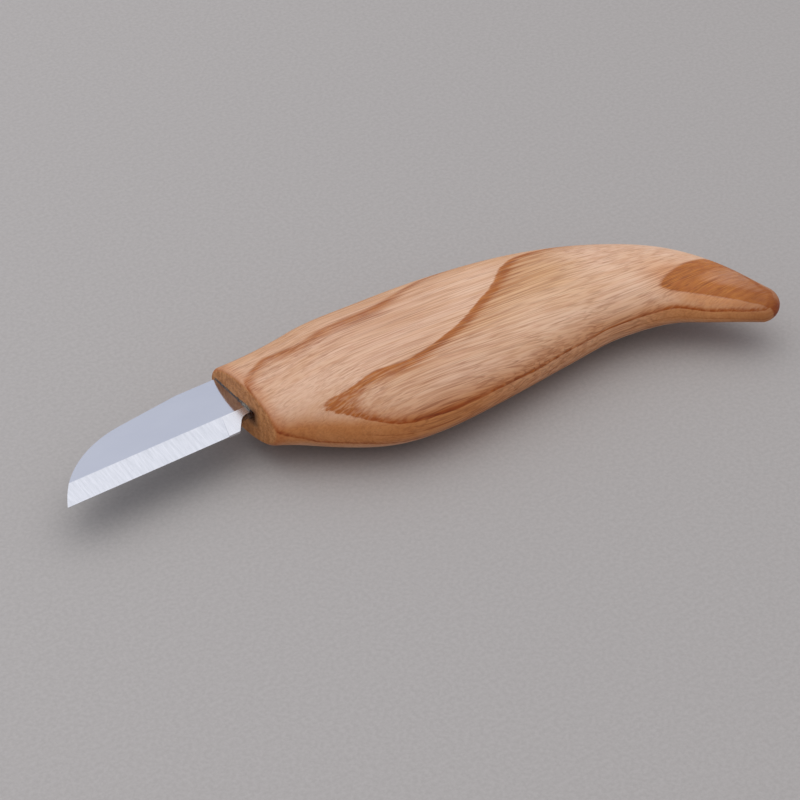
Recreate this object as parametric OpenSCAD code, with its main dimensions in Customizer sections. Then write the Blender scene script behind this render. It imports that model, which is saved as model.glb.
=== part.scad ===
// Whittling knife: a short straight-edged blade with a hidden tang, bedded in
// adhesive in the mortise of a one-piece palm handle of ash.
// Origin: centre of the tang where it leaves the handle's front face.
// +X runs from the blade into the handle, +Y from the cutting edge to the spine,
// +Z out of the blade's flat, so the knife lies on one broad side.

/* [Blade] */
// Length of the exposed blade, from the handle's front face to the tip
blade_reach = 46.5; // [40:0.5:50]
// Distance of the spine above the tang's centre line
spine_y = 6.8; // [6.2:0.1:7.2]
// Distance of the cutting edge below the tang's centre line
edge_y = 10.4; // [9.4:0.2:11.4]
// Thickness of the steel
blade_t = 2; // [1.6:0.1:2.4]
// Thickness left at the cutting edge after honing
edge_t = 0.1; // [0.06:0.02:0.2]
// Height of the ground bevel above the cutting edge
bevel_h = 5.5; // [4:0.5:7]
// Radius of the drop from the spine to the tip
drop_r = 28; // [26:0.5:32]
// How far the top of that round drop lies below the level spine
spine_fall = 1.6; // [1:0.1:2]
// Length of the level part of the spine in front of the handle
spine_run = 10; // [6:1:12]
// Distance of the heel of the cutting edge in front of the handle
heel_gap = 5; // [4:0.5:7]
// Distance in front of the handle at which the bevel proper stops
plunge_gap = 6; // [5.4:0.2:8]
// Thickness left at the heel, behind that line
heel_t = 0.5; // [0.3:0.1:0.8]
// Radius of the notch between the heel and the tang
choil_r = 3; // [2:0.5:4]

/* [Tang] */
// Length of the tang inside the handle
tang_l = 42; // [30:1:50]
// Height of the tang where it enters the handle
tang_h = 13.6; // [12:0.2:13.6]
// Height of the tang at its rounded end
tang_end_h = 8; // [6:0.5:10]
// Diameter of the holes that key the tang into the adhesive
key_hole_d = 3.5; // [2:0.5:4]
// Distance of the first key hole behind the front face
key_hole_x = 14; // [10:1:18]
// Distance between the two key holes
key_hole_pitch = 14; // [10:1:16]

/* [Adhesive] */
// Thickness of the adhesive on each face of the tang
bed_t = 0.3; // [0.2:0.05:0.5]
// Length that the mortise runs on below the tang and behind it
mortise_spare = 1.4; // [1:0.1:2]
// Depth of the open pocket left below the tang at the front face
pocket_d = 2; // [1:0.5:4]
// Height of the bead squeezed out on the front face
bead_h = 0.4; // [0.2:0.1:0.6]
// Width of that bead beside the tang
bead_w = 0.5; // [0.3:0.1:0.8]
// Distance at which the bead stops short of each end of the tang's height
bead_end = 1; // [0.5:0.5:3]

/* [Handle] */
// Length of the handle along X, from its front face to the end of its tail
handle_l = 117; // [110:0.5:124]
// Width of the front face
face_w = 25; // [24:0.5:27]
// Thickness of the front face
face_t = 12.5; // [11.5:0.5:14]
// Width across the belly
belly_w = 41.5; // [39:0.5:45]
// Width across the waist
waist_w = 28; // [25:0.5:31]
// Width of the tail just before its rounded end
tail_w = 9; // [7:0.5:11]
// Thickness of the body between its two sanded flats
body_t = 20; // [18:0.5:23]
// Thickness of the tail just before its rounded end
tail_t = 6.6; // [6:0.2:9]
// Length of that rounded end
nose_l = 4.5; // [3:0.5:6]
// Distance of the tail's lowest point below the tang's centre line
tail_drop = 44.5; // [42:0.5:48]
// Radius of the round-over at the front face
face_round = 1; // [0.6:0.1:1.5]

/* [Hidden] */

steel = "gainsboro";
glue = "dimgray";
ash = "burlywood";

// Blade
bevel_y = -edge_y + bevel_h;
plunge_slant = -17;
drop_n = 24;
drop_y = spine_y - spine_fall - drop_r;
drop_centre = [sqrt(pow(drop_r, 2) - pow(drop_y + edge_y, 2)) - blade_reach, drop_y];
spine_corner = [-spine_run, spine_y];

heel_slant = 52;
choil_n = 10;
notch_y = -tang_h / 2 - choil_r;
notch_centre = [(choil_r + (notch_y + edge_y) * cos(heel_slant)) / sin(heel_slant) - heel_gap, notch_y];

// Tang, and the mortise round it
taper_start = 0.5;
end_n = 16;
mortise_top = max(spine_y, tang_h / 2) + 0.2;
mortise_low = -tang_h / 2 - mortise_spare;
mortise_l = tang_l + mortise_spare;
mortise_t = blade_t + 2 * bed_t;

// Handle: what swells past the flats is sanded away, so they are truly flat
swell_t = body_t + 0.8;
squareness = 2.1;
ring_n = 52;
steps_per_bay = 6;
round_n = 4;
nose_n = 7;
tail_lean = -46;
nose_from = 20;
nose_w = tail_w / cos(nose_from);
nose_x = handle_l - norm([nose_w / 2 * sin(tail_lean), nose_l * cos(tail_lean)]);
nose_y = norm([nose_w / 2 * cos(tail_lean), nose_l * sin(tail_lean)]) - tail_drop;

// Stations of the handle: x, y of the centre line, width, thickness, lean of the cross-section
STATIONS = [
    [0, -3.6, face_w, face_t, 0],
    [6, -5.5, face_w + 3, face_t + 2, 0],
    [14, -8.4, 0.825 * belly_w, 0.84 * swell_t, 0],
    [23, -10.3, 0.965 * belly_w, 0.97 * swell_t, 0],
    [35, -11.4, belly_w, swell_t, 0],
    [54, -11.6, 0.94 * belly_w, swell_t, -2],
    [0.61 * handle_l, -12.8, 0.3 * belly_w + 0.75 * waist_w, 0.97 * swell_t, -8],
    [0.738 * handle_l, -15.5, waist_w, 0.82 * swell_t, -18],
    [0.852 * handle_l, -21.8, 0.8 * waist_w, 0.64 * swell_t, -30],
    [0.917 * handle_l, 13.9 - tail_drop, 0.61 * waist_w, 0.5 * swell_t, -42],
    [nose_x + nose_l * sin(nose_from) * cos(tail_lean),
     nose_y + nose_l * sin(nose_from) * sin(tail_lean), tail_w, tail_t, tail_lean],
];
LAST = len(STATIONS) - 1;

// Rate of change of column c at station i
function slope(c, i) =
    i == 0 ? STATIONS[1][c] - STATIONS[0][c] :
    i == LAST ? STATIONS[LAST][c] - STATIONS[LAST - 1][c] :
    (STATIONS[i + 1][c] - STATIONS[i - 1][c]) / 2;

// Smooth value of column c at place s, counted in stations from the front face
function value(c, s) =
    let (i = min(floor(s), LAST - 1), u = s - i)
    (1 + 2 * u) * pow(1 - u, 2) * STATIONS[i][c]
    + u * pow(1 - u, 2) * slope(c, i)
    + u * u * (3 - 2 * u) * STATIONS[i + 1][c]
    + u * u * (u - 1) * slope(c, i + 1);

// Coordinate on a slightly squared circle of radius 1, from the cosine or sine of the angle
function rounded(v) = sign(v) * pow(abs(v), 2 / squareness);

// Height z, held between the two flats
function flattened(z) = max(-body_t / 2, min(body_t / 2, z));

// Cross-section at centre [x, y], half-width w, half-thickness t, leaning by an angle
function section(x, y, w, t, lean) = [
    for (i = [0:ring_n - 1])
        let (a = 360 * i / ring_n, across = w * rounded(cos(a)))
        [x - across * sin(lean), y + across * cos(lean), flattened(t * rounded(sin(a)))]
];

// Cross-section at place s, drawn in by inset all round
function body_section(s, inset) =
    section(value(0, s), value(1, s), value(2, s) / 2 - inset, value(3, s) / 2 - inset, value(4, s));

// Round-over of the front edge: a quarter circle, from row 0 on the face to row round_n
function front_section(k) =
    let (a = 90 * k / round_n, s = face_round * (1 - cos(a)) / STATIONS[1][0])
    body_section(s, face_round * (1 - sin(a)));

// Rounded end of the tail: the rest of an ellipse whose sides run on from the taper
function nose_section(k) =
    let (a = nose_from + (90 - nose_from) * k / nose_n)
    section(nose_x + nose_l * sin(a) * cos(tail_lean), nose_y + nose_l * sin(a) * sin(tail_lean),
            nose_w / 2 * cos(a), tail_t / 2 * cos(a) / cos(nose_from), tail_lean);

// Triangles between two neighbouring rows of points that start at numbers a and b
function strip(a, b) = [
    for (i = [0:ring_n - 1])
        let (j = (i + 1) % ring_n)
        each [[a + i, b + j, a + j], [a + i, b + i, b + j]]
];

// Solid of the handle before the mortise is cut
module handle_blank() {
    sections = concat(
        [for (k = [0:round_n]) front_section(k)],
        [for (k = [2:LAST * steps_per_bay]) body_section(k / steps_per_bay, 0)],
        [for (k = [1:nose_n - 1]) nose_section(k)]);
    rows = len(sections);
    last = (rows - 1) * ring_n;
    tip = nose_section(nose_n)[0];
    points = concat([for (row = sections) each row], [tip]);
    faces = concat(
        [[for (i = [0:ring_n - 1]) i]],
        [for (r = [0:rows - 2]) each strip(r * ring_n, (r + 1) * ring_n)],
        [for (i = [0:ring_n - 1]) [last + (i + 1) % ring_n, last + i, len(points) - 1]]);
    polyhedron(points = points, faces = faces, convexity = 6);
}

// Direction from centre c in which a line from point p touches a circle of radius r round it
function touch_angle(p, c, r, side) =
    let (v = p - c)
    atan2(v.y, v.x) + side * acos(r / norm(v));

// Points of an arc round centre c, from angle a to angle b in n steps
function arc(c, r, a, b, n) = [
    for (k = [0:n])
        let (angle = a + (b - a) * k / n)
        c + r * [cos(angle), sin(angle)]
];

// Outline of the steel, from the heel along the edge to the tip, over the spine and round the tang
module blade_outline() {
    tip_angle = 180 + asin((drop_centre.y + edge_y) / drop_r);
    drop_angle = touch_angle(spine_corner, drop_centre, drop_r, 1);
    tang_end = [tang_l - tang_end_h / 2, 0];
    tang_angle = touch_angle([taper_start, spine_y], tang_end, tang_end_h / 2, -1);
    under_angle = touch_angle([taper_start, -tang_h / 2], tang_end, tang_end_h / 2, 1);
    polygon(concat(
        [[-heel_gap, -edge_y]],
        arc(drop_centre, drop_r, tip_angle, drop_angle, drop_n),
        [spine_corner],
        [[taper_start, spine_y]],
        arc(tang_end, tang_end_h / 2, tang_angle, under_angle, end_n),
        [[taper_start, -tang_h / 2]],
        arc(notch_centre, choil_r, 90, 90 + heel_slant, choil_n)));
}

// Cutter for the bevel of one side: what lies above the ground plane that leaves half_t at the edge
module ground_plane(half_t) {
    translate([0, bevel_y, blade_t / 2])
        rotate([atan((blade_t / 2 - half_t) / bevel_h), 0, 0])
            translate([-blade_reach - 5, -bevel_h - 5, 0])
                cube([blade_reach + 6, bevel_h + 5, blade_t]);
}

// Steel ground off one side: the bevel proper stops at a slanting line short of the heel,
// and from there to the handle the grind is shallower
module ground_off() {
    ground_plane(heel_t / 2);
    difference() {
        ground_plane(edge_t / 2);
        translate([-plunge_gap, bevel_y, -blade_t])
            rotate(plunge_slant)
                translate([0, -2 * bevel_h, 0])
                    cube([2 * plunge_gap, 3 * bevel_h, 3 * blade_t]);
    }
}

module blade() {
    color(steel)
        difference() {
            translate([0, 0, -blade_t / 2])
                linear_extrude(blade_t)
                    difference() {
                        blade_outline();
                        for (k = [0, 1])
                            translate([key_hole_x + k * key_hole_pitch, 0])
                                circle(d = key_hole_d, $fn = 48);
                    }
            ground_off();
            mirror([0, 0, 1])
                ground_off();
        }
}

// The mortise as a solid, from the given distance behind the front face to its blind end
module mortise(from) {
    translate([from, mortise_low, -mortise_t / 2])
        cube([mortise_l - from, mortise_top - mortise_low, mortise_t]);
}

module handle() {
    color(ash)
        difference() {
            handle_blank();
            mortise(-1);
        }
}

// Adhesive squeezed out on the front face: a low ridge along the slot
module bead() {
    half_w = mortise_t / 2 + bead_w;
    ridge_r = (pow(half_w, 2) + pow(bead_h, 2)) / (2 * bead_h);
    intersection() {
        translate([ridge_r - bead_h, 0, 0])
            rotate([90, 0, 0])
                cylinder(r = ridge_r, h = tang_h - 2 * bead_end, center = true, $fn = 180);
        translate([-bead_h, -tang_h / 2, -half_w])
            cube([bead_h, tang_h, 2 * half_w]);
    }
}

module tang_adhesive() {
    color(glue)
        difference() {
            union() {
                mortise(0);
                bead();
            }
            translate([-1, mortise_low - 1, -mortise_t])
                cube([pocket_d + 1, mortise_spare + 1.5, 2 * mortise_t]);
            blade();
        }
}

blade();
tang_adhesive();
handle();
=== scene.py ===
"""Looks of the whittling knife: ash handle, polished steel blade and the adhesive between them.

Lengths are in millimetres in this file and are turned into metres by MM where meshes are made.
Axes: +X from the blade into the handle, +Y from the cutting edge to the spine, +Z up.
The origin is the centre of the tang, in the plane of the handle's front face.
"""

import math

import bmesh
import bpy
import numpy as np
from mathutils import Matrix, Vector


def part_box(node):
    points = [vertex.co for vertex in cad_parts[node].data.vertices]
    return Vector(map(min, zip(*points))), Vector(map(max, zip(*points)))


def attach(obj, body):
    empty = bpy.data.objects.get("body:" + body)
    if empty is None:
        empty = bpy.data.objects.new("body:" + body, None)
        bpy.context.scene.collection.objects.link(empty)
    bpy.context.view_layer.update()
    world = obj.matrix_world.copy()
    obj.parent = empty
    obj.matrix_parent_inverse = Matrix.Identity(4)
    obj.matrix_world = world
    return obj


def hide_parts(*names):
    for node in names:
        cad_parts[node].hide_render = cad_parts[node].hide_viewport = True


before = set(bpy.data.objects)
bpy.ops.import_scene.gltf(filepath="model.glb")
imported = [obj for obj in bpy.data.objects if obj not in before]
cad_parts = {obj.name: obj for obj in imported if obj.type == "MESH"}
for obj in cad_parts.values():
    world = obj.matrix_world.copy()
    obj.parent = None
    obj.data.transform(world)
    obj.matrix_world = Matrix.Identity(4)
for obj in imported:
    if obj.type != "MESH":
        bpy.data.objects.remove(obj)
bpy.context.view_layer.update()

MM = 0.001


# ---------------------------------------------------------------- sizes taken from the CAD nodes

def box_mm(node):
    low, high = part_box(node)
    return [v / MM for v in low], [v / MM for v in high]


blade_low, blade_high = box_mm("blade")
handle_low, handle_high = box_mm("handle")

BLADE_REACH = -blade_low[0]
EDGE_Y = blade_low[1]
SPINE_Y = blade_high[1]
HALF_STEEL = blade_high[2]
TANG_L = blade_high[0]
HANDLE_L = handle_high[0]
TAIL_LOW = handle_low[1]
HALF_BODY = handle_high[2]
FLOOR_Z = handle_low[2]


# ---------------------------------------------------------------- other sizes

# Blade: the spine drops to the tip in one arc, and a round notch parts the heel from the handle
DROP_R = 28.0
DROP_BELOW_SPINE = 1.6
SPINE_END_X = -10.0
HEEL_X = -5.0
NOTCH_R = 3.0
NOTCH_SLANT = math.radians(52)

# Bevels: the main grind stops at a slanting plunge line, past which a shallower one goes on
BEVEL_HEIGHT = 5.5
BEVEL_Y = EDGE_Y + BEVEL_HEIGHT
HALF_EDGE = 0.05
HALF_HEEL_EDGE = 0.25
PLUNGE_X = -6.0
PLUNGE_SLANT = math.radians(17)
RIM_EASE = 0.12

# Tang
SHOULDER_X = 0.5
TANG_H = 13.6
TANG_LOW = -TANG_H / 2
TANG_END_R = 4.0
KEY_HOLES_X = (14.0, 28.0)
KEY_HOLE_R = 1.75

# Mortise: the tang and the adhesive round it
MORTISE_END = TANG_L + 1.4
MORTISE_LOW = TANG_LOW - 1.4
MORTISE_TOP = max(SPINE_Y, TANG_H / 2) + 0.2
HALF_MORTISE = HALF_STEEL + 0.3

# Handle
FACE_W = 25.0
FACE_T = 12.5
FACE_ROUND = 1.0
BELLY_W = 41.5
WAIST_W = 28.0
SWELL = 2 * HALF_BODY + 0.8
TAIL_W = 9.0
TAIL_T = 6.6
SANDING_DEPTH = 0.08

# Rounded end of the tail: part of an ellipse, from the angle at which the taper meets it
NOSE_L = 4.5
NOSE_FROM = math.radians(20)
TAIL_LEAN = math.radians(-46)
NOSE_W = TAIL_W / math.cos(NOSE_FROM)
NOSE_T = TAIL_T / math.cos(NOSE_FROM)
NOSE_X = HANDLE_L - math.hypot(NOSE_W / 2 * math.sin(TAIL_LEAN), NOSE_L * math.cos(TAIL_LEAN))
NOSE_Y = TAIL_LOW + math.hypot(NOSE_W / 2 * math.cos(TAIL_LEAN), NOSE_L * math.sin(TAIL_LEAN))
NOSE_STEP = NOSE_L * math.sin(NOSE_FROM)

# x, y of the centre line, width, thickness, lean of the cross-section in degrees
STATIONS = np.array([
    [0, -3.6, FACE_W, FACE_T, 0],
    [6, -5.5, FACE_W + 3, FACE_T + 2, 0],
    [14, -8.4, 0.825 * BELLY_W, 0.84 * SWELL, 0],
    [23, -10.3, 0.965 * BELLY_W, 0.97 * SWELL, 0],
    [35, -11.4, BELLY_W, SWELL, 0],
    [54, -11.6, 0.94 * BELLY_W, SWELL, -2],
    [0.61 * HANDLE_L, -12.8, 0.3 * BELLY_W + 0.75 * WAIST_W, 0.97 * SWELL, -8],
    [0.738 * HANDLE_L, -15.5, WAIST_W, 0.82 * SWELL, -18],
    [0.852 * HANDLE_L, -21.8, 0.8 * WAIST_W, 0.64 * SWELL, -30],
    [0.917 * HANDLE_L, 13.9 + TAIL_LOW, 0.61 * WAIST_W, 0.5 * SWELL, -42],
    [NOSE_X + NOSE_STEP * math.cos(TAIL_LEAN), NOSE_Y + NOSE_STEP * math.sin(TAIL_LEAN),
     TAIL_W, TAIL_T, math.degrees(TAIL_LEAN)],
])

# Cross-section: 2 would be an ellipse; the sanded flats blend in with FLAT_POWER at FLAT_LIMIT
SQUARENESS = 2.1
FLAT_LIMIT = 1.012 * HALF_BODY
FLAT_POWER = 26

# Top of the bead of adhesive on the front face
BEAD_TOP = 6.5

# Fineness of the handle's mesh, and the length over which its profile is softened
RING_N = 240
ROW_STEP = 0.45
SMOOTHING = 1.6
FACE_ROUND_N = 8
NOSE_N = 18


# ---------------------------------------------------------------- mesh helpers

def new_object(name, verts, faces):
    mesh = bpy.data.meshes.new(name)
    mesh.from_pydata([tuple(c * MM for c in v) for v in verts], [], faces)
    mesh.update()
    obj = bpy.data.objects.new(name, mesh)
    bpy.context.scene.collection.objects.link(obj)
    return obj


def box_object(name, low, high):
    (x0, y0, z0), (x1, y1, z1) = low, high
    verts = [(x0, y0, z0), (x1, y0, z0), (x1, y1, z0), (x0, y1, z0),
             (x0, y0, z1), (x1, y0, z1), (x1, y1, z1), (x0, y1, z1)]
    faces = [(3, 2, 1, 0), (4, 5, 6, 7), (0, 1, 5, 4), (1, 2, 6, 5), (2, 3, 7, 6), (3, 0, 4, 7)]
    return new_object(name, verts, faces)


def prism(name, outline, z0, z1):
    n = len(outline)
    verts = [(x, y, z0) for x, y in outline] + [(x, y, z1) for x, y in outline]
    faces = [tuple(range(n))[::-1], tuple(range(n, 2 * n))]
    faces += [(i, (i + 1) % n, (i + 1) % n + n, i + n) for i in range(n)]
    return new_object(name, verts, faces)


def combine(obj, other, operation):
    """Boolean of obj with other, kept in obj; other is removed."""
    mod = obj.modifiers.new("cut", "BOOLEAN")
    mod.object = other
    mod.operation = operation
    mod.solver = "EXACT"
    bpy.context.view_layer.update()
    graph = bpy.context.evaluated_depsgraph_get()
    mesh = bpy.data.meshes.new_from_object(obj.evaluated_get(graph))
    obj.modifiers.remove(mod)
    obj.data = mesh
    bpy.data.objects.remove(other)


def faces_outward(obj):
    """Makes the faces of a closed mesh point outward."""
    bm = bmesh.new()
    bm.from_mesh(obj.data)
    bmesh.ops.recalc_face_normals(bm, faces=bm.faces)
    bm.to_mesh(obj.data)
    bm.free()


def turn(obj, pivot, angle_x=0.0, angle_z=0.0):
    """Turns the vertices of obj about a pivot, first about X and then about Z."""
    cx, sx, cz, sz = math.cos(angle_x), math.sin(angle_x), math.cos(angle_z), math.sin(angle_z)
    for v in obj.data.vertices:
        x, y, z = (c / MM - p for c, p in zip(v.co, pivot))
        y, z = y * cx - z * sx, y * sx + z * cx
        x, y = x * cz - y * sz, x * sz + y * cz
        v.co = Vector(((x + pivot[0]) * MM, (y + pivot[1]) * MM, (z + pivot[2]) * MM))


def arc(cx, cy, r, start, end, n):
    """n + 1 points of an arc, from the start angle to the end angle in degrees."""
    angles = [math.radians(start + (end - start) * k / n) for k in range(n + 1)]
    return [(cx + r * math.cos(a), cy + r * math.sin(a)) for a in angles]


def touch_angle(point, centre, r, side):
    """Angle at which a line from the point touches a circle, on one side of it or the other."""
    dx, dy = point[0] - centre[0], point[1] - centre[1]
    return math.degrees(math.atan2(dy, dx) + side * math.acos(r / math.hypot(dx, dy)))


# ---------------------------------------------------------------- blade

def blade_outline():
    """Steel outline: heel, tip, drop, spine, tang, notch."""
    drop_y = SPINE_Y - DROP_BELOW_SPINE - DROP_R
    centre = (math.sqrt(DROP_R ** 2 - (drop_y - EDGE_Y) ** 2) - BLADE_REACH, drop_y)
    spine_end = (SPINE_END_X, SPINE_Y)
    tip = 180 + math.degrees(math.asin((drop_y - EDGE_Y) / DROP_R))
    top = touch_angle(spine_end, centre, DROP_R, 1)
    shoulder, under_shoulder = (SHOULDER_X, SPINE_Y), (SHOULDER_X, TANG_LOW)
    tang_end = (TANG_L - TANG_END_R, 0.0)
    upper = touch_angle(shoulder, tang_end, TANG_END_R, -1)
    lower = touch_angle(under_shoulder, tang_end, TANG_END_R, 1)
    notch_y = TANG_LOW - NOTCH_R
    rise = notch_y - EDGE_Y
    notch_x = (NOTCH_R + rise * math.cos(NOTCH_SLANT)) / math.sin(NOTCH_SLANT) + HEEL_X
    return ([(HEEL_X, EDGE_Y)]
            + arc(*centre, DROP_R, tip, top, 64)
            + [spine_end, shoulder]
            + arc(*tang_end, TANG_END_R, upper, lower, 24)
            + [under_shoulder]
            + arc(notch_x, notch_y, NOTCH_R, 90, 90 + math.degrees(NOTCH_SLANT), 16))


def grind(obj, side, half_left, stop_at_plunge):
    """Grinds one side of the blade down to half_left at the edge.

    The wedge of steel that is ground away, and the block that stops it, reach past the blade.
    """
    past = 5.0
    block = 14.0
    angle = math.atan((HALF_STEEL - half_left) / BEVEL_HEIGHT)
    wedge = box_object("wedge", (-BLADE_REACH - past, EDGE_Y - past, HALF_STEEL),
                       (SHOULDER_X + 0.5, BEVEL_Y, HALF_STEEL + 2))
    turn(wedge, (0, BEVEL_Y, HALF_STEEL), angle_x=angle)
    if stop_at_plunge:
        stop = box_object("stop", (PLUNGE_X, BEVEL_Y - block, -past),
                          (PLUNGE_X + block, BEVEL_Y + 6, 8))
        turn(stop, (PLUNGE_X, BEVEL_Y, 0), angle_z=-PLUNGE_SLANT)
        combine(wedge, stop, "DIFFERENCE")
    if side < 0:
        for v in wedge.data.vertices:
            v.co.z = -v.co.z
        wedge.data.flip_normals()
    combine(obj, wedge, "DIFFERENCE")


def ease_rims(obj):
    """Eases the rims of the two flats, outside the handle."""
    bm = bmesh.new()
    bm.from_mesh(obj.data)
    bmesh.ops.remove_doubles(bm, verts=bm.verts, dist=0.0005 * MM)
    bmesh.ops.dissolve_limit(bm, angle_limit=0.001, verts=bm.verts, edges=bm.edges)

    def on_flat(v):
        return abs(abs(v.co.z) - HALF_STEEL * MM) < 1e-6 and v.co.x < 2 * MM

    rim = [e for e in bm.edges if len(e.link_faces) == 2
           and e.calc_face_angle() >= math.radians(60) and all(on_flat(v) for v in e.verts)]
    bmesh.ops.bevel(bm, geom=rim, offset=RIM_EASE * MM, segments=3, profile=0.5,
                    affect="EDGES", clamp_overlap=True)
    bm.to_mesh(obj.data)
    bm.free()


def make_blade():
    steel = prism("steel_blade", blade_outline()[::-1], -HALF_STEEL, HALF_STEEL)
    for x in KEY_HOLES_X:
        circle = arc(x, 0, KEY_HOLE_R, 0, 360, 48)[:-1]
        combine(steel, prism("hole", circle, -3, 3), "DIFFERENCE")
    for side in (1, -1):
        grind(steel, side, HALF_HEEL_EDGE, False)
        grind(steel, side, HALF_EDGE, True)
    ease_rims(steel)
    return steel


# ---------------------------------------------------------------- handle

def curve_rows():
    """Rows along the handle: the stations joined by a smooth curve, evened out and softened."""
    last = len(STATIONS) - 1
    columns = STATIONS.shape[1]
    rate = np.gradient(STATIONS, axis=0)
    s = np.linspace(0, last, 1600)
    i = np.minimum(s.astype(int), last - 1)
    u = (s - i)[:, None]
    rows = ((1 + 2 * u) * (1 - u) ** 2 * STATIONS[i] + u * (1 - u) ** 2 * rate[i]
            + u * u * (3 - 2 * u) * STATIONS[i + 1] + u * u * (u - 1) * rate[i + 1])
    length = np.concatenate([[0], np.cumsum(np.hypot(*np.diff(rows[:, :2], axis=0).T))])
    even = np.linspace(0, length[-1], int(length[-1] / ROW_STEP) + 1)
    rows = np.stack([np.interp(even, length, rows[:, c]) for c in range(columns)], axis=1)
    reach = int(3 * SMOOTHING / ROW_STEP)
    weight = np.exp(-0.5 * (np.arange(-reach, reach + 1) * ROW_STEP / SMOOTHING) ** 2)
    weight /= weight.sum()
    before = 2 * rows[0] - rows[reach:0:-1]
    after = 2 * rows[-1] - rows[-2:-reach - 2:-1]
    padded = np.concatenate([before, rows, after])
    return np.stack([np.convolve(padded[:, c], weight, "valid") for c in range(columns)], axis=1)


def squared(wave):
    """A cosine or sine wave for a slightly squared ellipse."""
    return np.sign(wave) * np.abs(wave) ** (2 / SQUARENESS)


def section(x, y, half_w, half_t, lean):
    """Closed cross-section: a slightly squared ellipse whose broad sides are sanded flat."""
    a = np.linspace(0, 2 * math.pi, RING_N, endpoint=False)
    across = half_w * squared(np.cos(a))
    up = half_t * squared(np.sin(a))
    up = up / (1 + (np.abs(up) / FLAT_LIMIT) ** FLAT_POWER) ** (1 / FLAT_POWER)
    up = np.clip(up, -HALF_BODY, HALF_BODY)
    lean = math.radians(lean)
    return np.stack([x - across * math.sin(lean), y + across * math.cos(lean), up], axis=1)


def face_sections(rows):
    """Sections of the round-over at the front face."""
    for k in range(FACE_ROUND_N + 1):
        a = math.pi / 2 * k / FACE_ROUND_N
        inset = FACE_ROUND * (1 - math.sin(a))
        x = FACE_ROUND * (1 - math.cos(a))
        y, width, thickness, lean = (np.interp(x, rows[:, 0], rows[:, c]) for c in range(1, 5))
        yield section(x, y, width / 2 - inset, thickness / 2 - inset, lean)


def body_sections(rows):
    for x, y, width, thickness, lean in rows:
        if x > FACE_ROUND + 0.6 * ROW_STEP:
            yield section(x, y, width / 2, thickness / 2, lean)


def nose_sections():
    """Sections of the rounded end of the tail."""
    for k in range(1, NOSE_N):
        a = NOSE_FROM + (math.pi / 2 - NOSE_FROM) * k / NOSE_N
        run = NOSE_L * math.sin(a)
        yield section(NOSE_X + run * math.cos(TAIL_LEAN), NOSE_Y + run * math.sin(TAIL_LEAN),
                      NOSE_W / 2 * math.cos(a), NOSE_T / 2 * math.cos(a),
                      math.degrees(TAIL_LEAN))


def hand_sanded(points):
    """Slow waves, from -1 to 1, that fade out towards both ends of the handle."""
    x, y, z = points.T
    wave = (0.5 * np.sin(x / 7.3 + 0.6 * z + 1.0) * np.cos(y / 5.1 + 0.4)
            + 0.3 * np.sin(x / 3.9 + y / 4.7 + 2.0) + 0.2 * np.cos(x / 11.0 - y / 3.3))
    fade = np.clip((x - 2.0) / 6.0, 0, 1) * np.clip((HANDLE_L - x) / 10, 0, 1)
    return wave * fade


def sand(points, centre_y):
    """Gives the surface the slight unevenness that is left by sanding it by hand."""
    axis = np.stack([points[:, 0], centre_y, np.zeros(len(points))], axis=1)
    out = points - axis
    out /= np.linalg.norm(out, axis=1)[:, None]
    points = points + out * (SANDING_DEPTH * hand_sanded(points))[:, None]
    points[:, 2] = np.clip(points[:, 2], -HALF_BODY, HALF_BODY)
    return points


def make_handle():
    rows = curve_rows()
    rings = [*face_sections(rows), *body_sections(rows), *nose_sections()]
    tip = [NOSE_X + NOSE_L * math.cos(TAIL_LEAN), NOSE_Y + NOSE_L * math.sin(TAIL_LEAN), 0]
    centre_y = np.repeat([ring[:, 1].mean() for ring in rings], RING_N)
    points = sand(np.concatenate(rings), centre_y)

    around = [(i, (i + 1) % RING_N) for i in range(RING_N)]
    faces = [tuple(range(RING_N))]
    for a in range(0, len(points) - RING_N, RING_N):
        b = a + RING_N
        faces += [(a + i, b + i, b + j, a + j) for i, j in around]
    last = len(points) - RING_N
    faces += [(last + i, len(points), last + j) for i, j in around]

    wood = new_object("ash_handle", list(points) + [tip], faces)
    faces_outward(wood)
    mortise = box_object("mortise", (-2, MORTISE_LOW, -HALF_MORTISE),
                         (MORTISE_END, MORTISE_TOP, HALF_MORTISE))
    combine(wood, mortise, "DIFFERENCE")
    wood.data.shade_smooth()
    wood.data.set_sharp_from_angle(angle=math.radians(38))
    return wood


# ---------------------------------------------------------------- adhesive

def bead_points(ny, nz):
    """Front and back points of the bead, ny rows up the slot with nz points across it.

    The bead is thin along most of the slot and thick near its foot.
    """
    rng = np.random.default_rng(7)
    waves = [(rng.uniform(0.8, 6), rng.uniform(0, 6.3), rng.uniform(0.3, 1)) for _ in range(16)]

    def noise(y):
        return sum(gain * math.sin(pitch * y + phase) for pitch, phase, gain in waves) / 4

    front, back = [], []
    for y in np.linspace(TANG_LOW + 0.6, BEAD_TOP, ny):
        foot = min(1.0, max(0.0, (-1.5 - y) / 3.0))
        ends = min(1.0, (y - TANG_LOW - 0.55) / 0.5, BEAD_TOP + 0.1 - y)
        thin = 0.06 + 0.30 * max(0.0, noise(1.9 * y) - 0.1)
        thick = 0.26 + 0.12 * noise(y)
        height = ends * (thin + foot * thick)
        for side in np.linspace(-1, 1, nz):
            lean = noise(y + 20 + side)
            spread = 0.10 * max(0.0, lean) + foot * (0.30 + 0.15 * lean)
            half = HALF_MORTISE + 0.03 + ends * spread
            front.append((-height * (1 - side * side), y, side * half))
            back.append((0.03, y, side * half))
    return front, back


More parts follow.
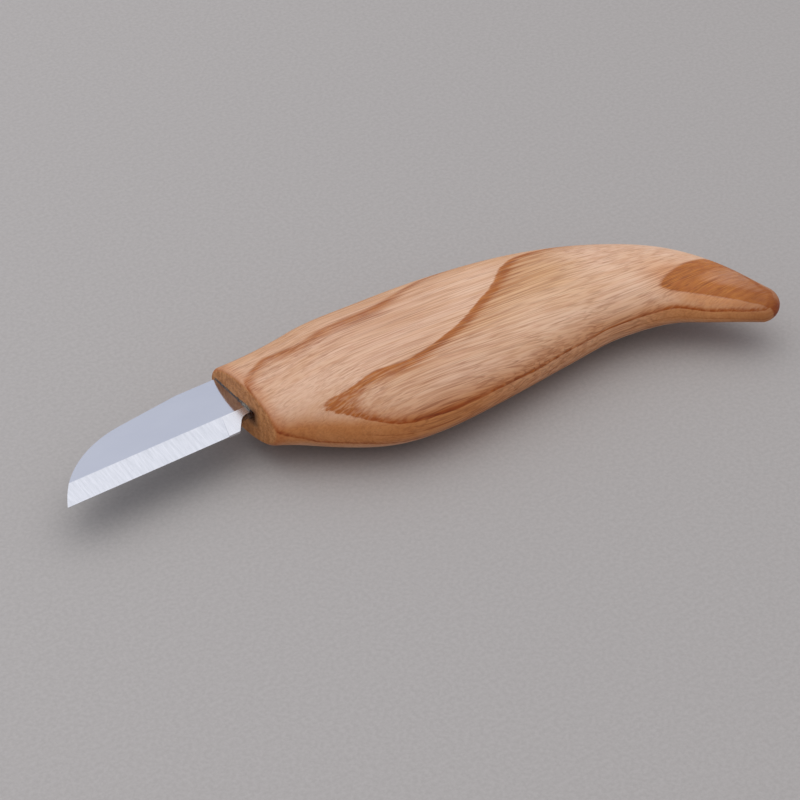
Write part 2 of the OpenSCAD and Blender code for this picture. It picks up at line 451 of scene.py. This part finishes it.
def make_bead():
    """Uneven bead of adhesive, squeezed out along the slot in the front face."""
    ny, nz = 90, 14
    front, back = bead_points(ny, nz)
    n = ny * nz
    faces = []
    for i in range(ny - 1):
        for j in range(nz - 1):
            a = i * nz + j
            b = a + nz
            faces += [(a, a + 1, b + 1, b), (n + a, n + b, n + b + 1, n + a + 1)]
    for i in range(ny - 1):
        a, b = i * nz, i * nz + nz - 1
        faces += [(a, a + nz, n + a + nz, n + a), (b + nz, b, n + b, n + b + nz)]
    for a in range(nz - 1):
        b = (ny - 1) * nz + a
        faces += [(a + 1, a, n + a, n + a + 1), (b, b + 1, n + b + 1, n + b)]
    bead = new_object("bead", front + back, faces)
    faces_outward(bead)
    return bead


def make_adhesive(steel):
    """The adhesive that fills the mortise round the tang, with its bead, less the steel itself."""
    glue = box_object("epoxy_bed", (0, MORTISE_LOW, -HALF_MORTISE),
                      (MORTISE_END, MORTISE_TOP, HALF_MORTISE))
    # the foot of the slot is open: there the adhesive stays 2 mm behind the front face
    pocket = box_object("pocket", (-1, MORTISE_LOW - 1, -3), (2, TANG_LOW + 0.5, 3))
    combine(glue, pocket, "DIFFERENCE")
    combine(glue, make_bead(), "UNION")
    copy = bpy.data.objects.new("steel", steel.data.copy())
    bpy.context.scene.collection.objects.link(copy)
    combine(glue, copy, "DIFFERENCE")
    return glue


# ---------------------------------------------------------------- shader helpers

def tone(r, g, b):
    """Linear colour of a display colour given in 0-255 steps."""
    return tuple(((c / 255 + 0.055) / 1.055) ** 2.4 if c > 10 else c / 255 / 12.92
                 for c in (r, g, b)) + (1.0,)


class Tree:
    """Short ways to add shader nodes to a material or world. Values are sockets or constants."""

    def __init__(self, owner):
        owner.use_nodes = True
        self.owner = owner
        self.nodes = owner.node_tree.nodes
        self.links = owner.node_tree.links
        self.nodes.clear()

    def put(self, socket, value):
        if isinstance(value, bpy.types.NodeSocket):
            self.links.new(value, socket)
        else:
            socket.default_value = value

    def math(self, operation, a, b=0.0):
        node = self.nodes.new("ShaderNodeMath")
        node.operation = operation
        self.put(node.inputs[0], a)
        self.put(node.inputs[1], b)
        return node.outputs[0]

    def add(self, a, b):
        return self.math("ADD", a, b)

    def sub(self, a, b):
        return self.math("SUBTRACT", a, b)

    def mul(self, a, b):
        return self.math("MULTIPLY", a, b)

    def size(self, a):
        return self.math("ABSOLUTE", a)

    def step(self, value, low, high):
        """Smooth step: 0 where the value is at low or beyond, 1 where it is at high or beyond."""
        node = self.nodes.new("ShaderNodeMapRange")
        node.interpolation_type = "SMOOTHSTEP"
        self.put(node.inputs["Value"], value)
        self.put(node.inputs["From Min"], low)
        self.put(node.inputs["From Max"], high)
        return node.outputs["Result"]

    def fall(self, depth, length):
        """exp(-depth / length), and 1 where the depth is below zero."""
        return self.math("EXPONENT", self.mul(self.math("MAXIMUM", depth, 0.0), -1 / length))

    def cubic(self, k, factors):
        """a + b k + c k^2 + d k^3."""
        a, b, c, d = factors
        return self.add(self.mul(self.add(self.mul(self.add(self.mul(k, d), c), k), b), k), a)

    def vector(self, x, y, z):
        node = self.nodes.new("ShaderNodeCombineXYZ")
        for socket, value in zip(node.inputs, (x, y, z)):
            self.put(socket, value)
        return node.outputs[0]

    def scaled(self, place, factors):
        """A place (x, y, z) with each coordinate times its factor."""
        return self.vector(*(self.mul(c, f) if f else 0.0 for c, f in zip(place, factors)))

    def noise(self, vector, detail=2.0, roughness=0.5):
        node = self.nodes.new("ShaderNodeTexNoise")
        self.put(node.inputs["Vector"], vector)
        node.inputs["Scale"].default_value = 1.0
        node.inputs["Detail"].default_value = detail
        node.inputs["Roughness"].default_value = roughness
        return node.outputs["Fac"]

    def mix(self, factor, a, b, blend="MIX"):
        node = self.nodes.new("ShaderNodeMix")
        node.data_type = "RGBA"
        node.blend_type = blend
        self.put(node.inputs["Factor"], factor)
        first_colour, second_colour = node.inputs[6], node.inputs[7]
        self.put(first_colour, a)
        self.put(second_colour, b)
        return node.outputs[2]

    def tint(self, factor, colour, by):
        """The colour multiplied by another, as far as the factor says."""
        return self.mix(factor, colour, by, "MULTIPLY")

    def split(self, vector):
        node = self.nodes.new("ShaderNodeSeparateXYZ")
        self.put(node.inputs[0], vector)
        return node.outputs[0], node.outputs[1], node.outputs[2]

    def millimetres(self):
        """x, y, z of the shaded point in the CAD's frame, in millimetres."""
        node = self.nodes.new("ShaderNodeVectorMath")
        node.operation = "SCALE"
        self.put(node.inputs[0], self.nodes.new("ShaderNodeTexCoord").outputs["Object"])
        node.inputs["Scale"].default_value = 1 / MM
        return self.split(node.outputs[0])

    def normal(self):
        return self.split(self.nodes.new("ShaderNodeNewGeometry").outputs["Normal"])

    def bump(self, height, distance_mm, strength, under=None):
        node = self.nodes.new("ShaderNodeBump")
        self.put(node.inputs["Height"], height)
        node.inputs["Distance"].default_value = distance_mm * MM
        node.inputs["Strength"].default_value = strength
        if under is not None:
            self.put(node.inputs["Normal"], under)
        return node.outputs[0]

    def surface(self, **values):
        shader = self.nodes.new("ShaderNodeBsdfPrincipled")
        for name, value in values.items():
            self.put(shader.inputs[name.replace("_", " ")], value)
        self.finish("ShaderNodeOutputMaterial", shader.outputs[0])
        return self.owner

    def finish(self, kind, shader):
        output = self.nodes.new(kind)
        self.links.new(shader, output.inputs["Surface"])


def new_material(name):
    return Tree(bpy.data.materials.new(name))


# ---------------------------------------------------------------- wood

# The tree's growth rings are tubes round an axis far below the handle. The axis is a cubic in
# k = x / AXIS_SPAN - 1, and is straight from the front face to AXIS_START.
AXIS_SPAN = 50.0
AXIS_START = 8.0
AXIS_Y = (-2.0, -0.5, -1.9, -14.4)
AXIS_Z = (-32.2, -6.4, -5.0, 3.55)
FIBRE_SLANT = math.radians(-3.5)

# Each ring: radius at which it starts, how dark its first wood is, the depth of the darkest line,
# the depth over which the rest fades, and how soft its front is, in millimetres
RINGS = [
    (21.6, 0.8, 0.30, 1.2, 0.1),
    (26.1, 0.8, 0.30, 1.2, 0.1),
    (30.7, 0.9, 0.35, 1.3, 0.1),
    (35.2, 0.8, 0.30, 1.2, 0.1),
    (39.72, 0.9, 0.60, 0.9, 0.4),
    (44.28, 1.0, 0.45, 0.75, 0.12),
]
DARKEST_R = RINGS[-1][0]
GLOW_DEPTH = 1.43
FALSE_RING_R = 42.3

# The tail's ring is a cone: where it starts on the handle's upper face, how fast it opens, how it
# bends with the tail, and how much its start moves with height
CONE_X, CONE_Y, CONE_Z = 92.0, -27.1, 4.6
CONE_OPENING = 0.53
CONE_SLOPE, CONE_BEND = 0.12, 0.0145
CONE_LEAN = 0.35

LATE_WOOD = tone(238, 196, 163), tone(231, 185, 147)
LATE_FLECK = tone(228, 174, 142)
PALE_FIBRE = tone(240, 206, 170)
FIRST_WOOD = tone(192, 112, 24), tone(174, 92, 10)
PORE = tone(164, 94, 44)
HAIRLINE = tone(138, 72, 26)
END_GRAIN = tone(212, 148, 92), tone(184, 118, 66)
END_PORE = tone(128, 76, 40)
# painted shadow of the tang on the front face, round the foot of the slot
SLOT_FOOT_SHADE = tone(84, 54, 34)

# Factors that multiply the wood's colour: oil and handling, painted shade on the front half, and
# oil with painted shade on the sides
BY_RING = (0.92, 0.87, 0.72, 1)
BY_FRONT_SHADE = (0.93, 0.90, 0.89, 1)
BY_TOP_EDGE = (0.93, 0.80, 0.58, 1)
BY_SIDES_OIL_AND_SHADE = (0.80, 0.49, 0.21, 1)
BY_TAIL_END = (0.62, 0.52, 0.42, 1)
BY_RIM = (0.80, 0.56, 0.38, 1)


class Grain:
    """What the parts of the wood share: the place, the normal, the rings' radius and the fibres."""

    def __init__(self, t):
        self.t = t
        self.place = self.x, self.y, self.z = t.millimetres()
        self.nx, self.ny, nz = t.normal()
        self.flatness = t.size(nz)
        cos, sin = math.cos(FIBRE_SLANT), math.sin(FIBRE_SLANT)
        self.along = t.add(t.mul(self.x, cos), t.mul(self.y, sin))
        self.across = t.sub(t.mul(self.y, cos), t.mul(self.x, sin))

        k = t.sub(t.mul(t.math("MAXIMUM", self.x, AXIS_START), 1 / AXIS_SPAN), 1.0)
        dy = t.sub(self.y, t.cubic(k, AXIS_Y))
        dz = t.sub(self.z, t.cubic(k, AXIS_Z))
        self.radius = t.math("SQRT", t.add(t.mul(dy, dy), t.mul(dz, dz)))
        slow = t.sub(self.fibres(16, 6, 3.1, detail=1.5), 0.5)
        ragged = t.sub(self.fibres(7, 0.55, 9.7, detail=2), 0.5)
        self.waver = t.add(t.mul(slow, 0.6), t.mul(ragged, 0.22))

        fine = self.fibres(14, 0.24, 1.3, detail=0.5, layering=2.0)
        long = self.fibres(30, 0.45, 5.3, detail=1, layering=2.0)
        self.pores = t.add(t.mul(fine, 0.6), t.mul(long, 0.4))
        self.streak = t.step(long, 0.40, 0.60)
        wave = self.fibres(16, 0.40, 8.1, detail=0.5, layering=2.0)
        patch = self.fibres(9, 1.1, 6.6, detail=1, layering=2.0)
        self.hair = t.mul(t.step(t.size(t.sub(wave, 0.5)), 0.085, 0.02), t.step(patch, 0.30, 0.60))
        self.fleck = self.fibres(2.6, 1.1, 4.4, detail=2)

    def fibres(self, length, width, seed, detail, layering=1.0):
        """Noise drawn out along the fibres. Its patches are layering times as thick as wide."""
        t = self.t
        return t.noise(t.vector(t.add(t.mul(self.along, 1 / length), seed),
                                t.mul(self.across, 1 / width),
                                t.mul(self.z, 1 / (width * layering))), detail=detail)

    def depth(self, radius):
        """How far into the ring that starts at this radius, with its front's unevenness."""
        return self.t.add(self.t.sub(self.radius, radius), self.waver)

    def ring(self, depth, strength, line, fade, softness, streak):
        """Darkness of one ring's first wood: a dark line behind its front, then a streaky fade."""
        t = self.t
        front = t.mul(t.step(depth, -0.3 * softness, 0.7 * softness), strength)
        body = t.mul(t.fall(depth, fade), t.add(0.28, t.mul(streak, 0.42)))
        body = t.add(body, t.mul(t.step(depth, 1.7 * line, 0.5 * line), 0.5))
        return t.mul(front, body)


def tail_cone(g):
    """How far inside the tail's cone, whose cut shows as a tongue that opens towards the tip."""
    t = g.t
    run = t.add(t.sub(g.x, CONE_X), t.mul(t.sub(g.z, CONE_Z), CONE_LEAN))
    bend = t.mul(run, t.add(t.mul(run, CONE_BEND), CONE_SLOPE))
    off = t.add(t.sub(g.y, CONE_Y), bend)
    rounded = t.math("SQRT", t.add(t.mul(off, off), 1.0))
    return t.sub(t.mul(run, CONE_OPENING), rounded)


def first_wood(g):
    """How dark the wood is at each point, from 0 to 1: the growth rings."""
    t = g.t
    dark = 0.0
    for radius, strength, line, fade, softness in RINGS:
        shade = g.ring(g.depth(radius), strength, line, fade, softness, g.streak)
        dark = t.add(dark, shade)

    # past the darkest ring the upper part of the broad faces stays golden for a while
    past = g.depth(DARKEST_R)
    glow = t.mul(t.fall(past, GLOW_DEPTH), t.step(past, 0.0, 0.2))
    glow = t.mul(glow, t.step(g.flatness, 0.80, 0.97))
    glow = t.mul(glow, t.mul(t.step(g.y, -26.0, -13.0), t.add(0.22, t.mul(g.streak, 0.24))))
    dark = t.add(dark, glow)

    # a false ring shows along the lower side only
    low_side = t.mul(t.step(g.y, -23.0, -29.0), 0.5)
    false_ring = g.ring(g.depth(FALSE_RING_R), low_side, line=0.2, fade=0.4, softness=0.1,
                        streak=g.streak)
    dark = t.add(dark, false_ring)

    inside = t.add(tail_cone(g), t.mul(g.waver, 1.5))
    tongue = g.ring(inside, strength=1.0, line=4.0, fade=25.0, softness=1.2, streak=1.3)
    dark = t.add(dark, tongue)
    return t.math("MINIMUM", dark, 1.0)


def bare_wood(g, dark, pore):
    """Colour of the sanded wood before oil: rings, flecks, pores and hairlines."""
    t = g.t
    cloud = g.fibres(22, 3.2, 0.4, detail=3)
    wood = t.mix(t.step(cloud, 0.35, 0.68), *LATE_WOOD)
    wood = t.mix(t.mul(t.step(g.fleck, 0.50, 0.72), 0.30), wood, LATE_FLECK)
    wood = t.mix(t.mul(t.step(g.pores, 0.46, 0.36), 0.25), wood, PALE_FIBRE)
    wood = t.mix(t.mul(dark, 0.95), wood, t.mix(t.step(g.fleck, 0.35, 0.7), *FIRST_WOOD))

    # where the fibres run out of the surface the pores are short and faint
    shown = t.sub(1.0, t.mul(t.step(t.size(g.nx), 0.10, 0.40), 0.60))
    shown = t.mul(shown, t.sub(1.0, t.mul(t.step(g.x, 98.0, 116.0), 0.6)))
    wood = t.mix(t.mul(t.mul(pore, shown), t.add(0.26, t.mul(dark, 0.20))), wood, PORE)
    return t.mix(t.mul(t.mul(g.hair, shown), t.add(0.31, t.mul(dark, 0.38))), wood, HAIRLINE)


def oiled_and_shaded(g, wood, dark):
    """The colour after oil and use, with painted shade on the front half and the sides."""
    t = g.t
    stain = t.mul(t.step(g.x, 88.0, 72.0), t.step(g.y, -27.0, -14.0))
    stain = t.mul(t.step(g.depth(DARKEST_R), 0.0, 0.3), stain)
    wood = t.tint(stain, wood, BY_RING)
    # painted shade: the front half of the handle is darker
    wood = t.tint(t.step(g.x, 66.0, 34.0), wood, BY_FRONT_SHADE)
    top_edge = t.mul(t.step(g.ny, 0.05, 0.60), t.step(g.x, 92.0, 76.0))
    wood = t.tint(t.mul(top_edge, 0.85), wood, BY_TOP_EDGE)

    # the sides, cut across the rings, take up more oil and also carry painted warm shade, most of
    # all at both ends and under the tail
    oil_and_shade_amount = t.add(0.60, t.mul(t.step(g.x, 62.0, 36.0), 0.36))
    oil_and_shade_amount = t.add(oil_and_shade_amount, t.mul(t.step(g.x, 80.0, 100.0), 0.32))
    side = t.mul(t.step(g.flatness, 0.92, 0.25), oil_and_shade_amount)
    under_tail = t.mul(t.step(g.x, 88.0, 102.0), t.step(g.ny, 0.05, -0.25))
    under_tail = t.mul(under_tail, t.sub(1.0, dark))
    side = t.math("MAXIMUM", side, t.mul(under_tail, 0.85))
    return t.tint(side, wood, BY_SIDES_OIL_AND_SHADE)


def with_ends(g, wood, face):
    """The colour with its end grain, on the tip of the tail and on the front face, and a painted
    shadow round the foot of the slot.
    """
    t = g.t
    tail_end = t.step(t.sub(g.x, t.mul(g.y, 0.5)), 120.0, 136.0)
    wood = t.tint(t.mul(tail_end, 0.8), wood, BY_TAIL_END)

    mottle = t.noise(t.scaled(g.place, (0.5, 0.8, 0.8)), detail=4, roughness=0.65)
    dots = t.noise(t.scaled(g.place, (0.4, 3.2, 3.2)), detail=1)
    grain = t.mix(t.step(mottle, 0.38, 0.62), *END_GRAIN)
    grain = t.mix(t.mul(t.step(dots, 0.58, 0.72), 0.5), grain, END_PORE)
    wood = t.mix(face, wood, grain)

    # the burnished rim of the front face is darker; round the foot of the slot the tang's shadow is
    # painted on the wood
    rim = t.mul(t.step(g.x, 3.2, 0.8), t.sub(1.0, face))
    wood = t.tint(t.mul(rim, 0.55), wood, BY_RIM)
    foot = t.mul(t.step(g.y, -5.0, -6.6), t.step(g.y, -10.5, -8.0))
    foot = t.mul(t.mul(t.step(t.size(g.z), 3.0, 1.2), foot), t.step(g.x, 2.0, 0.5))
    return t.mix(t.mul(foot, 0.75), wood, SLOT_FOOT_SHADE)


def wood_material():
    t = new_material("oiled_ash")
    g = Grain(t)
    dark = first_wood(g)
    pore = t.step(t.add(g.pores, t.mul(dark, 0.03)), 0.48, 0.58)
    face = t.mul(t.step(g.nx, -0.75, -0.97), t.step(g.x, 2.5, 1.0))
    colour = with_ends(g, oiled_and_shaded(g, bare_wood(g, dark, pore), dark), face)

    # handling marks: a few short dull rubs
    rub = t.noise(t.scaled(g.place, (0.23, 0.31, 0.31)), detail=5, roughness=0.7)
    roughness = t.add(0.38, t.mul(t.step(rub, 0.45, 0.7), 0.12))
    roughness = t.add(roughness, t.mul(pore, 0.15))
    roughness = t.add(roughness, t.mul(face, 0.12))

    fuzz = g.fibres(3, 0.12, 2.2, detail=2)
    relief = t.sub(t.mul(fuzz, 0.25), t.add(t.mul(pore, 0.6), g.hair))
    dents = t.noise(t.scaled(g.place, (0.12, 0.18, 0.18)), detail=2)
    bump = t.bump(dents, 0.25, 0.5, t.bump(relief, 0.03, 0.6))
    return t.surface(Base_Color=colour, Roughness=roughness, Normal=bump, Specular_IOR_Level=0.30)


# ---------------------------------------------------------------- steel, adhesive and floor

STEEL_FLAT = (0.53, 0.545, 0.61, 1), (0.59, 0.605, 0.66, 1)
STEEL_BEVEL = (0.50, 0.51, 0.54, 1), (0.60, 0.605, 0.635, 1)
STEEL_HEEL = (0.68, 0.68, 0.70, 1)
THIN_EPOXY = tone(64, 48, 38), tone(104, 84, 62)
THICK_EPOXY = tone(112, 102, 86), tone(156, 146, 128)
PALE_SPECK = tone(206, 198, 182)
DARK_SPECK = tone(32, 24, 20)
CARD = tone(177, 172, 166), tone(187, 182, 176)
CARD_CLOUD = tone(178, 172, 168)

# The card is brighter on one side: the direction in which the light falls off, how far that goes
# on, and the factors at its two ends
FALLOFF_X, FALLOFF_Y = 0.81, -0.587
FALLOFF_REACH = 260
FALLOFF = (1.05, 1.05, 1.06, 1), (0.90, 0.89, 0.89, 1)


def steel_material():
    t = new_material("polished_steel")
    place = x, y, _ = t.millimetres()
    outside = t.step(x, 0.6, 0.4)
    bevel = t.mul(t.step(y, BEVEL_Y + 0.03, BEVEL_Y - 0.03), outside)
    plunge = t.sub(x, t.add(t.mul(t.sub(y, BEVEL_Y), math.tan(PLUNGE_SLANT)), PLUNGE_X))
    heel = t.mul(t.step(plunge, -0.03, 0.06), bevel)

    # grinding scratches stand across the bevel; polishing hairlines run along the flats
    scratches = t.noise(t.scaled(place, (9.0, 0.35, 0.5)), detail=4, roughness=0.7)
    bands = t.noise(t.scaled(place, (1.4, 0.12, 0)), detail=3)
    hairlines = t.noise(t.scaled(place, (0.25, 14.0, 3.0)), detail=3, roughness=0.6)
    cloud = t.noise(t.scaled(place, (0.07, 0.16, 0)), detail=2)
    smudge = t.noise(t.scaled(place, (0.45, 0.45, 0.4)), detail=4, roughness=0.6)

    lines = t.add(t.mul(scratches, 0.6), t.mul(bands, 0.4))
    bright = t.mix(t.step(lines, 0.34, 0.66), *STEEL_BEVEL)
    colour = t.mix(bevel, t.mix(cloud, *STEEL_FLAT), bright)
    colour = t.mix(t.mul(heel, 0.6), colour, STEEL_HEEL)

    roughness = t.add(0.10, t.mul(t.step(smudge, 0.48, 0.75), 0.07))
    roughness = t.add(roughness, t.mul(bevel, t.add(0.06, t.mul(scratches, 0.12))))
    roughness = t.add(roughness, t.mul(heel, 0.06))
    grooves = t.mul(scratches, t.add(t.mul(bevel, 0.7), t.mul(heel, 0.6)))
    bump = t.bump(hairlines, 0.0012, 0.35, t.bump(grooves, 0.004, 0.4))
    return t.surface(Base_Color=colour, Metallic=1.0, Roughness=roughness, Normal=bump)


def epoxy_material():
    """Thin and dark along most of the slot, thick and grey near its foot."""
    t = new_material("grey_epoxy")
    place = _, y, _ = t.millimetres()
    blotch = t.noise(t.scaled(place, (1.5, 1.5, 1.5)), detail=3)
    speck = t.noise(t.scaled(place, (5, 5, 5)), detail=2, roughness=0.6)
    mottling = t.step(blotch, 0.35, 0.65)
    thin, thick = t.mix(mottling, *THIN_EPOXY), t.mix(mottling, *THICK_EPOXY)
    colour = t.mix(t.step(y, -2.6, -4.6), thin, thick)
    colour = t.mix(t.step(speck, 0.60, 0.66), colour, PALE_SPECK)
    colour = t.mix(t.step(speck, 0.44, 0.38), colour, DARK_SPECK)
    roughness = t.add(0.35, t.mul(blotch, 0.3))
    return t.surface(Base_Color=colour, Roughness=roughness, Normal=t.bump(speck, 0.08, 0.8))


def floor_material():
    """Pale grey card, a little brighter towards one side as the light falls off."""
    t = new_material("grey_card")
    place = x, y, _ = t.millimetres()
    tooth = t.noise(t.scaled(place, (1.1, 1.1, 0)), detail=4, roughness=0.7)
    wide = t.noise(t.scaled(place, (0.01, 0.01, 0)), detail=2)
    colour = t.mix(t.step(tooth, 0.3, 0.7), *CARD)
    colour = t.mix(t.mul(wide, 0.25), colour, CARD_CLOUD)
    away = t.add(t.mul(x, FALLOFF_X), t.mul(y, FALLOFF_Y))
    colour = t.tint(1.0, colour, t.mix(t.step(away, -FALLOFF_REACH, FALLOFF_REACH), *FALLOFF))
    bump = t.bump(tooth, 0.08, 0.35)
    return t.surface(Base_Color=colour, Roughness=0.9, Specular_IOR_Level=0.15, Normal=bump)


# ---------------------------------------------------------------- surroundings

CAMERA_AZIMUTH = -35.94
CAMERA_ELEVATION = 38.1
CAMERA_DISTANCE = 598.6
CAMERA_AIM = (28.2, -21.1, 0.0)
CAMERA_LENS = 127.8
FLOOR_R = 3200.0

# Directions are azimuth and elevation in degrees; the overhead light fades out at LAMP_SPREAD
# from its middle
LAMP_AT = (150, 84)
LAMP_SPREAD = math.radians(66)
LAMP_POWER = 0.94
LAMP_COLOUR = (1.0, 0.985, 0.97, 1)
WALL_AT = (175, 20)
WALL_POWER = 0.58
WALL_EXTRA = 0.14
WALL_COLOUR = (0.84, 0.88, 1.0, 1)
BACKDROP = tone(170, 166, 167)


def direction(azimuth, elevation):
    """Unit vector from the object towards a viewer or a light."""
    a, e = math.radians(azimuth), math.radians(elevation)
    return Vector((math.sin(a) * math.cos(e), -math.cos(a) * math.cos(e), math.sin(e)))


def make_camera():
    data = bpy.data.cameras.new("camera")
    data.sensor_width = 36.0
    data.lens = CAMERA_LENS
    data.clip_start, data.clip_end = 0.01, 20.0
    cam = bpy.data.objects.new("camera", data)
    bpy.context.scene.collection.objects.link(cam)
    back = direction(CAMERA_AZIMUTH, CAMERA_ELEVATION)
    cam.location = (Vector(CAMERA_AIM) + back * CAMERA_DISTANCE) * MM
    cam.rotation_mode = "QUATERNION"
    cam.rotation_quaternion = (-back).to_track_quat("-Z", "Y")
    bpy.context.scene.camera = cam


def make_floor():
    rim = arc(0, 0, FLOOR_R, 0, 360, 96)[:-1]
    floor = new_object("floor", [(x, y, FLOOR_Z) for x, y in rim], [tuple(range(len(rim)))])
    floor.data.materials.append(floor_material())


def make_world():
    """A studio: one very large soft light overhead and a dimmer room, brighter on the far side."""
    t = Tree(bpy.data.worlds.new("studio"))
    ray = t.nodes.new("ShaderNodeTexCoord").outputs["Generated"]

    def towards(azimuth, elevation):
        """1 where the ray goes in this direction, and -1 where it goes in the opposite one."""
        node = t.nodes.new("ShaderNodeVectorMath")
        node.operation = "DOT_PRODUCT"
        t.put(node.inputs[0], ray)
        node.inputs[1].default_value = direction(azimuth, elevation)
        return node.outputs["Value"]

    def light(colour, strength=1.0):
        node = t.nodes.new("ShaderNodeBackground")
        t.put(node.inputs["Color"], colour)
        t.put(node.inputs["Strength"], strength)
        return node.outputs[0]

    def join(kind, first, a, b):
        """Shader node that adds or mixes two shaders, whose sockets start at index first."""
        node = t.nodes.new(kind)
        t.put(node.inputs[first], a)
        t.put(node.inputs[first + 1], b)
        return node

    nearness = t.step(towards(*LAMP_AT), math.cos(LAMP_SPREAD), 1.0)
    lamp = light(LAMP_COLOUR, t.mul(t.mul(nearness, nearness), LAMP_POWER))
    far_side = t.step(towards(*WALL_AT), -0.35, 0.85)
    wall = light(WALL_COLOUR, t.add(t.mul(far_side, WALL_EXTRA), WALL_POWER))
    studio = join("ShaderNodeAddShader", 0, lamp, wall).outputs[0]

    # the camera sees an even backdrop, and all other rays see the lights
    switch = join("ShaderNodeMixShader", 1, studio, light(BACKDROP))
    t.put(switch.inputs[0], t.nodes.new("ShaderNodeLightPath").outputs["Is Camera Ray"])
    t.finish("ShaderNodeOutputWorld", switch.outputs[0])
    bpy.context.scene.world = t.owner


# ---------------------------------------------------------------- the scene

blade = make_blade()
handle = make_handle()
adhesive = make_adhesive(blade)

for obj, material, node, slot in ((blade, steel_material(), "blade", "polished_steel"),
                                  (handle, wood_material(), "handle", "ash_wood"),
                                  (adhesive, epoxy_material(), "tang_adhesive", "epoxy")):
    obj.data.materials.clear()
    obj.data.materials.append(material)
    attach(obj, "root")
    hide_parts(node)

make_floor()
make_world()
make_camera()
bpy.context.scene.view_settings.view_transform = "Standard"
